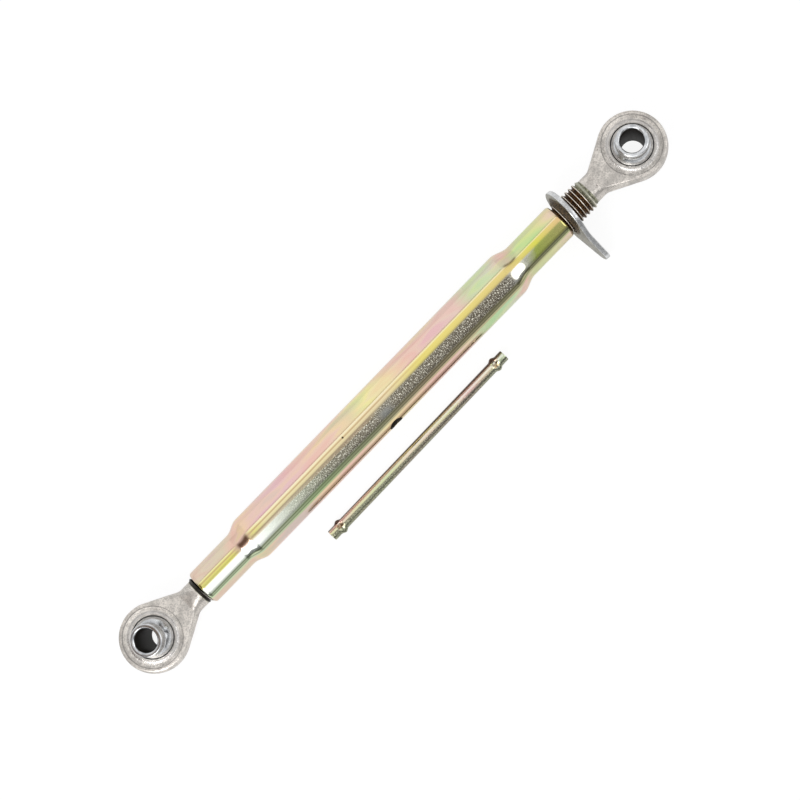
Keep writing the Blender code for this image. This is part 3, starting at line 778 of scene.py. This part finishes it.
def make_ball(name, node, centre, tilt, chamfer, bore_chamfer):
    half = ball_half(chamfer, bore_chamfer)
    profile = half + [(radius, -height) for radius, height in reversed(half[:-1])] + [half[0]]
    ball = lathe(name, profile, 144)
    put(ball, centre, turned(tilt, "Y"))
    shade(ball, 34)
    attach(ball, node)
    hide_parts(node)
    tree, shader, place = plated(ball, name + "_zinc")
    local = centred_on(tree, place, centre)
    look = place_group(tree, skin, place, 0.0008)
    colour = blend(tree, look["Mottle"], (0.50, 0.515, 0.535), (0.80, 0.815, 0.83))
    colour = blend(tree, times(tree, look["Pits"], 0.5), colour, (0.25, 0.24, 0.24))
    inputs = {"Vector": local, "Axis": (0, 1, 0), "Angle": math.radians(-tilt)}
    upright = add(tree, "ShaderNodeVectorRotate", inputs, rotation_type="AXIS_ANGLE").outputs["Vector"]
    parts = add(tree, "ShaderNodeSeparateXYZ", {"Vector": upright}).outputs
    radius = from_axis(tree, parts["X"], parts["Y"])
    # The bore is painted near black: painted shade inside it.
    inside = spread(tree, radius, PIN_BORE + 0.0003, PIN_BORE + 0.00005)
    tree.links.new(blend(tree, inside, colour, (0.020, 0.016, 0.012)), shader["Base Color"])
    tree.links.new(minus(tree, 1.0, times(tree, inside, 0.7)), shader["Metallic"])
    rough = plus(tree, 0.08, times(tree, look["Grain"], 0.08))
    tree.links.new(plus(tree, rough, times(tree, inside, 0.35)), shader["Roughness"])
    cuts = calculate(tree, "SINE", times(tree, parts["Z"], math.tau / TOOL_MARKS))
    bumped(tree, shader, plus(tree, times(tree, cuts, 0.2), look["Grain"]), 0.00003)
    return ball


UPPER_BALL_TILT = 1.5
LOWER_BALL_TILT = -10.5
make_ball("upper_ball_turned", "upper_ball", upper_eye_centre, UPPER_BALL_TILT, 0.0012, 0.0010)
make_ball("lower_ball_turned", "lower_ball", lower_eye_centre, LOWER_BALL_TILT, 0.0008, 0.0008)


# Lock plate
# A lever lock nut, blanked from 4.3 mm plate with a low drawn and tapped hub, a little out of true
# on it, with its handle bent back. Clear zinc plated, and dark with thread grease round the hub.

PLATE_HALF = 0.00215
HEAD_RADIUS = 0.0230
TIP_RADIUS = 0.0080
HANDLE_REACH = 0.0415
HUB_RADIUS = 0.0156
HUB_LENGTH = 0.0016
HUB_FILLET = 0.0006
EDGE_ROUND = 0.0009
PLATE_LEAN = 4.4
PLATE_NOD = 5.8
HANDLE_BEND = 8.4
HANDLE_BEND_START = 0.0022
HANDLE_BEND_LENGTH = 0.0060
HANDLE_DROOP = 22.2766
PLATE_FROM_EYE = 0.074870
BEND_STEPS = 8
TAP_LEAD = 0.0005
TAP_REACH = 0.004
TAP_DEPTH = -0.0100
EDGE_FACING = 0.6
EDGE_BEYOND_HUB = 0.003
THREAD_RINGS = 0.0007

alone()
bpy.ops.mesh.primitive_cylinder_add(vertices=144, radius=HEAD_RADIUS, depth=2 * PLATE_HALF)
plate = bpy.context.object
plate.name = "lock_plate_pressed"
bpy.ops.object.mode_set(mode="EDIT")
bpy.ops.mesh.primitive_cylinder_add(
    vertices=96, radius=TIP_RADIUS, depth=2 * PLATE_HALF, location=(HANDLE_REACH, 0, 0))
bpy.ops.mesh.select_all(action="SELECT")
bpy.ops.mesh.convex_hull()
bpy.ops.mesh.select_all(action="SELECT")
bpy.ops.mesh.dissolve_limited(angle_limit=math.radians(0.5))
bpy.ops.object.mode_set(mode="OBJECT")
nod = turned(-PLATE_NOD, "Y")
leaning = nod @ turned(-PLATE_LEAN, "X")
put(plate, (0, 0, 0), leaning)
rounding = plate.modifiers.new("rounded edge", "BEVEL")
rounding.width = EDGE_ROUND
rounding.segments = 4
rounding.limit_method = "ANGLE"
rounding.angle_limit = math.radians(60)
apply_modifiers(plate)

hub_end = PLATE_HALF + HUB_LENGTH
foot = HUB_RADIUS + HUB_FILLET
hub = [(0.0, hub_end), (HUB_RADIUS - EDGE_ROUND, hub_end)]
hub += arc((HUB_RADIUS - EDGE_ROUND, hub_end - EDGE_ROUND), (EDGE_ROUND, EDGE_ROUND), 90, 0, 5)[1:]
hub += arc((foot, PLATE_HALF + HUB_FILLET), (HUB_FILLET, HUB_FILLET), 180, 270, 8)
hub += [(foot, 0.0), (0.0, 0.0)]
boss = lathe("hub", hub, 128)
for vertex in boss.data.vertices:
    if vertex.co.xy.length > HUB_RADIUS + 0.00001:
        vertex.co.z += vertex.co.x * math.tan(math.radians(PLATE_NOD))
        vertex.co.z -= vertex.co.y * math.tan(math.radians(PLATE_LEAN))
combine(plate, boss, "UNION")
lead = BORE_RADIUS + TAP_LEAD
tap = [(0.0, hub_end + TAP_REACH), (lead + TAP_REACH, hub_end + TAP_REACH), (lead, hub_end)]
tap += [(BORE_RADIUS, hub_end - LEAD_DEPTH), (BORE_RADIUS, TAP_DEPTH), (0.0, TAP_DEPTH)]
combine(plate, lathe("tap", tap, 128))
only(plate)
bend_start = HUB_RADIUS + HANDLE_BEND_START
bpy.ops.object.mode_set(mode="EDIT")
for step in range(BEND_STEPS + 1):
    bpy.ops.mesh.select_all(action="SELECT")
    bend_at = bend_start + HANDLE_BEND_LENGTH * step / BEND_STEPS
    bpy.ops.mesh.bisect(plane_co=(bend_at, 0, 0), plane_no=(1, 0, 0))
bpy.ops.object.mode_set(mode="OBJECT")
bend_slope = math.tan(math.radians(HANDLE_BEND))
for vertex in plate.data.vertices:
    past_bend = vertex.co.x - bend_start
    if past_bend > 0:
        eased = min(past_bend, HANDLE_BEND_LENGTH)
        vertex.co.z -= bend_slope * (eased ** 2 / (2 * HANDLE_BEND_LENGTH) + past_bend - eased)
plate_way = leaning @ Vector((0, 0, 1))
sheared = [polygon.index for polygon in plate.data.polygons
           if abs(polygon.normal.dot(plate_way)) < EDGE_FACING
           and polygon.center.xy.length > HUB_RADIUS + EDGE_BEYOND_HUB]
droop = math.radians(HANDLE_DROOP)
handle_way = Vector((0.0, -math.cos(droop), -math.sin(droop)))
hub_way = Vector((-1.0, 0.0, 0.0))
plate_place = upper_eye_centre - Vector((PLATE_FROM_EYE, 0.0, 0.0))
put(plate, plate_place, Matrix((handle_way, hub_way.cross(handle_way), hub_way)).transposed())
shade(plate, 34)
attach(plate, "lock_plate")
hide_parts("lock_plate")

# The faces get darker zinc than the edges: painted shade, with grease round the hub.
tree, shader, place = plated(plate, "clear_zinc_plate_shaded")
look = place_group(tree, skin, place, 0.0010)
colour = blend(tree, look["Mottle"], (0.27, 0.26, 0.23), (0.46, 0.45, 0.41))
coarse = times(tree, spread(tree, look["Grain"], 0.46, 0.60), 0.45)
colour = blend(tree, coarse, colour, (0.15, 0.145, 0.13))
local = centred_on(tree, place, plate_place)
parts = add(tree, "ShaderNodeSeparateXYZ", {"Vector": local}).outputs
radius = from_axis(tree, parts["Y"], parts["Z"])
smear = plus(tree, radius, times(tree, minus(tree, look["Grain"], 0.5), 0.004))
near_hub = spread(tree, smear, HUB_RADIUS + 0.0040, HUB_RADIUS + 0.0018)
on_hub = times(tree, near_hub, spread(tree, parts["X"], PLATE_HALF - 0.0004, PLATE_HALF - 0.0012))
in_hole = spread(tree, radius, BORE_RADIUS + 0.0003, BORE_RADIUS + 0.0001)
greasy = calculate(tree, "MAXIMUM", on_hub, in_hole)
dirt = blend(tree, spread(tree, look["Grain"], 0.40, 0.62), (0.030, 0.020, 0.010), (0.20, 0.13, 0.06))
rings = calculate(tree, "SINE", times(tree, parts["X"], math.tau / THREAD_RINGS))
dirt = blend(tree, times(tree, spread(tree, rings, 0.1, 0.9), 0.7), dirt, (0.012, 0.008, 0.004))
tree.links.new(blend(tree, greasy, colour, dirt), shader["Base Color"])
tree.links.new(minus(tree, 1.0, times(tree, greasy, 0.9)), shader["Metallic"])
rough = plus(tree, 0.26, times(tree, look["Grain"], 0.16))
tree.links.new(plus(tree, rough, times(tree, greasy, 0.2)), shader["Roughness"])
bumped(tree, shader, minus(tree, look["Grain"], look["Pits"]), 0.00012)

shaded_face_finish = plate.data.materials[0]
# The edges get paler zinc than the faces: their sheared finish, and painted light.
tree, shader, place = plated(plate, "sheared_edge_lit")
look = place_group(tree, skin, place, 0.0009)
colour = blend(tree, look["Mottle"], (0.60, 0.61, 0.62), (0.90, 0.91, 0.92))
coarse = times(tree, spread(tree, look["Grain"], 0.48, 0.60), 0.5)
colour = blend(tree, coarse, colour, (0.34, 0.34, 0.34))
tree.links.new(colour, shader["Base Color"])
shader["Metallic"].default_value = 1.0
tree.links.new(plus(tree, 0.20, times(tree, look["Grain"], 0.16)), shader["Roughness"])
bumped(tree, shader, minus(tree, look["Grain"], look["Pits"]), 0.00010)
plate.data.materials.append(shaded_face_finish)
for polygon in plate.data.polygons:
    polygon.material_index = 1
for index in sheared:
    plate.data.polygons[index].material_index = 0


# Tommy bar
# A length of 9.5 mm bar, sheared and chamfered, with a pair of ears pinched near each end to keep
# it in the cross hole. It is yellow zinc plated with the barrel, and lies loose beside it.

TOMMY_HALF = 0.0995
TOMMY_RADIUS = 0.00475
TOMMY_CHAMFER = 0.0006
EAR_FROM_END = 0.0105
EAR_LENGTH = 0.0080
EAR_HALF_WIDTH = 0.0063
EAR_THICKNESS = 0.0068
TOMMY_ALONG = -0.0032
TOMMY_FROM_AXIS = 0.0410
TOMMY_YAW = 0.6
EAR_STEPS = 24

# Degrees round the bar from its top, less than nought towards the front
BAR_HIGHLIGHT = (4.0, 14.0)
# Where the front half is painted darker: painted shade
BAR_SHADED_FRONT = (-9.0, -19.0)
BAR_SHADED_SIDE = (34.0, 42.0)
BAR_PINCHED = (-32.0, 22.0)

ear = TOMMY_HALF - EAR_FROM_END
upper_half = [(0.0, TOMMY_HALF)]
edge_centre = (TOMMY_RADIUS - TOMMY_CHAMFER, TOMMY_HALF - TOMMY_CHAMFER)
upper_half += arc(edge_centre, (TOMMY_CHAMFER, TOMMY_CHAMFER), 90, 0, 4)
for step in range(EAR_STEPS + 1):
    upper_half.append((TOMMY_RADIUS, ear + EAR_LENGTH * (0.5 - step / EAR_STEPS)))
lower_half = [(radius, -height) for radius, height in reversed(upper_half)]
tommy = lathe("tommy_bar_round", upper_half + lower_half, 64)
for vertex in tommy.data.vertices:
    away = abs(abs(vertex.co.z) - ear) / (EAR_LENGTH / 2)
    if away < 1:
        amount = (1 + math.cos(math.pi * away)) / 2
        vertex.co.y *= 1 + (EAR_HALF_WIDTH / TOMMY_RADIUS - 1) * amount
        vertex.co.x *= 1 + (EAR_THICKNESS / (2 * TOMMY_RADIUS) - 1) * amount
tommy_place = Vector((barrel_centre.x + TOMMY_ALONG, barrel_centre.y - TOMMY_FROM_AXIS, TOMMY_RADIUS))
tommy_turn = turned(TOMMY_YAW, "Z")
put(tommy, tommy_place, tommy_turn @ turned(90, "Y"))
shade(tommy)
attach(tommy, "tommy_bar")
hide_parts("tommy_bar")

tree, shader, place = plated(tommy, "yellow_zinc_bar")
centred = centred_on(tree, place, tommy_place)
bar_look = place_group(tree, around, centred, 0.0008)
channels = add(tree, "ShaderNodeSeparateColor", {"Color": bar_look["Film"]}).outputs
degrees = times(tree, bar_look["Angle"], 180 / math.pi)
colour = ramp(tree, channels["Red"], [
    (0.34, (0.70, 0.78, 0.46)), (0.42, (0.84, 0.80, 0.50)), (0.49, (0.90, 0.74, 0.60)),
    (0.56, (0.88, 0.62, 0.56)), (0.62, (0.88, 0.84, 0.56)), (0.70, (0.72, 0.80, 0.56))])
# A near-white band along the top: a painted highlight.
painted_highlight = times(tree, spread(tree, degrees, *BAR_HIGHLIGHT), 0.55)
colour = blend(tree, painted_highlight, colour, (0.96, 0.94, 0.90))
# The front half is dark olive, mottled like wear: painted shade with a wear mottle.
shaded_front = spread(tree, degrees, *BAR_SHADED_FRONT)
wear_and_shade = blend(tree, spread(tree, bar_look["Grain"], 0.40, 0.60), (0.36, 0.36, 0.27), (0.10, 0.095, 0.075))
colour = blend(tree, times(tree, shaded_front, 0.85), colour, wear_and_shade)
# Near black on the side towards the barrel: painted shade.
dark = times(tree, spread(tree, degrees, *BAR_SHADED_SIDE), 0.9)
colour = blend(tree, dark, colour, (0.07, 0.045, 0.03))
by_ear = calculate(tree, "ABSOLUTE", minus(tree, calculate(tree, "ABSOLUTE", bar_look["Along"]), ear))
pinched = times(tree, spread(tree, by_ear, 0.0030, 0.0018), strip(tree, degrees, *BAR_PINCHED, 8.0))
colour = blend(tree, times(tree, pinched, 0.7), colour, (0.30, 0.17, 0.08))
tree.links.new(colour, shader["Base Color"])
shader["Metallic"].default_value = 1.0
tree.links.new(plus(tree, 0.12, times(tree, bar_look["Grain"], 0.10)), shader["Roughness"])
bumped(tree, shader, bar_look["Grain"], 0.00008)


# Studio
# A white sweep lit from all round, with the dark side of the room in front of the link, which the
# barrel shows as its dark band, and the camera nearly straight above.

PIXEL = 0.000792
CAMERA_DISTANCE = 2.11
CAMERA_TILT = 9.3
CAMERA_ROLL = 45.8
AIM_ALONG = 15.9
AIM_DOWN = 10.05
IMAGE_PIXELS = 800
SWEEP_WHITE = (0.90, 0.90, 0.90)
SWEEP_SEEN = (0.18, 0.18, 0.18)
SEEN_GLOW = 0.90
MIRRORED_GLOW = 0.24
BOX_ASIDE = 0.70
BOX_HALF_WIDTH = 0.46
BOX_ANGLE = 37
BOX_HALF_ANGLE = 27
AIR_GLOW = 0.62

# The room from end to end: between which x of a direction each part of it sets in or lies
OVER_LOWER_END = (0.020, -0.055)
OVER_UPPER_END = (0.066, 0.072)
PAST_LOWER_END = (-0.114, -0.122)
PAST_UPPER_END = (0.098, 0.106)
LEFT_GAP = (-0.14, -0.62)
RIGHT_GAP = (0.14, 0.60)
NEAR_LOWER_END = (-0.42, -0.10)
DARK_EDGE = (0.85, 0.96)

alone()
bpy.ops.mesh.primitive_plane_add(size=6)
sweep = bpy.context.object
sweep.name = "floor_sweep"
tree, shader, place = plated(sweep, "white_sweep")
shader["Roughness"].default_value = 0.9
shader["Specular IOR Level"].default_value = 0.0
rays = tree.nodes.new("ShaderNodeLightPath").outputs
tree.links.new(blend(tree, rays["Is Camera Ray"], SWEEP_WHITE, SWEEP_SEEN), shader["Base Color"])
shader["Emission Color"].default_value = (1.0, 1.0, 1.0, 1.0)
seen = times(tree, rays["Is Camera Ray"], SEEN_GLOW)
glow = plus(tree, seen, times(tree, rays["Is Glossy Ray"], MIRRORED_GLOW))
tree.links.new(glow, shader["Emission Strength"])

world = bpy.data.worlds.new("studio")
bpy.context.scene.world = world
world.use_nodes = True
tree = world.node_tree
background = tree.nodes["Background"].inputs
direction = tree.nodes.new("ShaderNodeTexCoord").outputs["Generated"]
parts = add(tree, "ShaderNodeSeparateXYZ", {"Vector": direction}).outputs
from_top = calculate(tree, "ARCTAN2", times(tree, parts["Y"], -1.0), parts["Z"])
turned_out = plus(tree, times(tree, times(tree, from_top, 1 / math.pi), 0.5), 0.5)


def at(degrees):
    """The place on the ramp for an angle from straight up, towards the front."""
    return degrees / 360 + 0.5


def grey(value):
    return (value, value, value)


def room_over(stops):
    """A ramp over degrees from straight up, towards the front, with greys or colours."""
    return ramp(tree, turned_out, [
        (at(degrees), tone if isinstance(tone, tuple) else grey(tone)) for degrees, tone in stops])


def zone(low, high, soft):
    """One between two angles from straight up."""
    return strip(tree, turned_out, at(low), at(high), soft)


over_barrel = room_over([
    (-33, 1.0), (-31, (0.30, 0.27, 0.24)), (-28.5, 1.05), (0, 0.92), (5, 0.72), (11, 0.26), (22, 0.11),
    (58, 0.09), (66, 0.26), (76, 0.34), (90, 0.36)])
over_lower_end = room_over([
    (-33, 1.0), (-31, (0.36, 0.30, 0.26)), (-28.5, 1.05), (0, 0.92), (4, 0.66), (9, 0.66), (15, 1.15),
    (19, 1.35), (55, 1.35), (62, 0.72), (80, 0.62), (90, 0.80)])
over_upper_end = room_over([
    (-33, 1.0), (-31, (0.36, 0.30, 0.26)), (-28.5, 1.05), (4, 0.86), (10, 0.80), (50, 0.80), (60, 0.40),
    (70, 0.32), (84, 0.46), (90, 0.55)])
room = blend(tree, spread(tree, parts["X"], *OVER_LOWER_END), over_barrel, over_lower_end)
room = blend(tree, spread(tree, parts["X"], *OVER_UPPER_END), room, over_upper_end)
beyond_ends = room_over([
    (-90, 0.80), (-70, 0.88), (6, 0.92), (16, 0.62), (30, 0.50), (58, 0.45), (66, 0.20), (84, 0.20),
    (90, 0.80)])
aside = calculate(tree, "ABSOLUTE", parts["X"])
box_across = times(tree, minus(tree, aside, BOX_ASIDE), 1 / BOX_HALF_WIDTH)
box_down = times(tree, minus(tree, turned_out, at(BOX_ANGLE)), 360 / BOX_HALF_ANGLE)
from_box = add(tree, "ShaderNodeCombineXYZ", {"X": box_across, "Y": box_down}).outputs[0]
from_box = add(tree, "ShaderNodeVectorMath", {0: from_box}, operation="LENGTH").outputs["Value"]
near_lower = times(tree, strip(tree, parts["X"], *NEAR_LOWER_END, 0.03), zone(12, 52, 0.01))
beyond_ends = blend(tree, near_lower, beyond_ends, grey(1.1))
beyond_ends = blend(tree, spread(tree, from_box, 1.08, 0.90), beyond_ends, grey(1.9))
beyond_ends = blend(tree, strip(tree, aside, *DARK_EDGE, 0.02), beyond_ends, grey(0.10))
left_gap = times(tree, spread(tree, parts["X"], *LEFT_GAP), zone(-28, 8, 0.03))
right_gap = times(tree, spread(tree, parts["X"], *RIGHT_GAP), zone(-38, -26, 0.02))
gaps = calculate(tree, "MAXIMUM", left_gap, right_gap)
beyond_ends = blend(tree, gaps, beyond_ends, (0.17, 0.12, 0.09))
past_upper = spread(tree, parts["X"], *PAST_UPPER_END)
past_ends = calculate(tree, "MAXIMUM", past_upper, spread(tree, parts["X"], *PAST_LOWER_END))
room = blend(tree, past_ends, room, beyond_ends)
rays = tree.nodes.new("ShaderNodeLightPath").outputs
tree.links.new(blend(tree, rays["Is Glossy Ray"], (1.0, 1.0, 1.0), room), background["Color"])
shown = calculate(tree, "MAXIMUM", rays["Is Camera Ray"], rays["Is Glossy Ray"])
tree.links.new(plus(tree, AIR_GLOW, times(tree, shown, 1 - AIR_GLOW)), background["Strength"])

bpy.ops.object.light_add(type="AREA", location=(-1.15, -0.6, 1.4))
softbox = bpy.context.object
softbox.name = "softbox"
softbox.data.shape = "SQUARE"
softbox.data.size = 0.7
softbox.data.energy = 7.0
softbox.rotation_euler = (-softbox.location).to_track_quat("-Z", "Y").to_euler()

tilt = math.radians(CAMERA_TILT)
roll = math.radians(CAMERA_ROLL)
back = Vector((0.0, -math.sin(tilt), math.cos(tilt)))
side = Vector((1.0, 0.0, 0.0))
up = back.cross(side)
aim = barrel_centre + side * AIM_ALONG * PIXEL - up * AIM_DOWN * PIXEL
right = side * math.cos(roll) - up * math.sin(roll)
top = side * math.sin(roll) + up * math.cos(roll)
lens = bpy.data.cameras.new("camera")
lens.sensor_width = 36
lens.lens = lens.sensor_width * CAMERA_DISTANCE / (IMAGE_PIXELS * PIXEL)
lens.clip_end = 20
camera = bpy.data.objects.new("camera", lens)
bpy.context.scene.collection.objects.link(camera)
turn = Matrix((right, top, back)).transposed().to_4x4()
camera.matrix_world = Matrix.Translation(aim + back * CAMERA_DISTANCE) @ turn
bpy.context.scene.camera = camera
bpy.context.scene.view_settings.view_transform = "Standard"
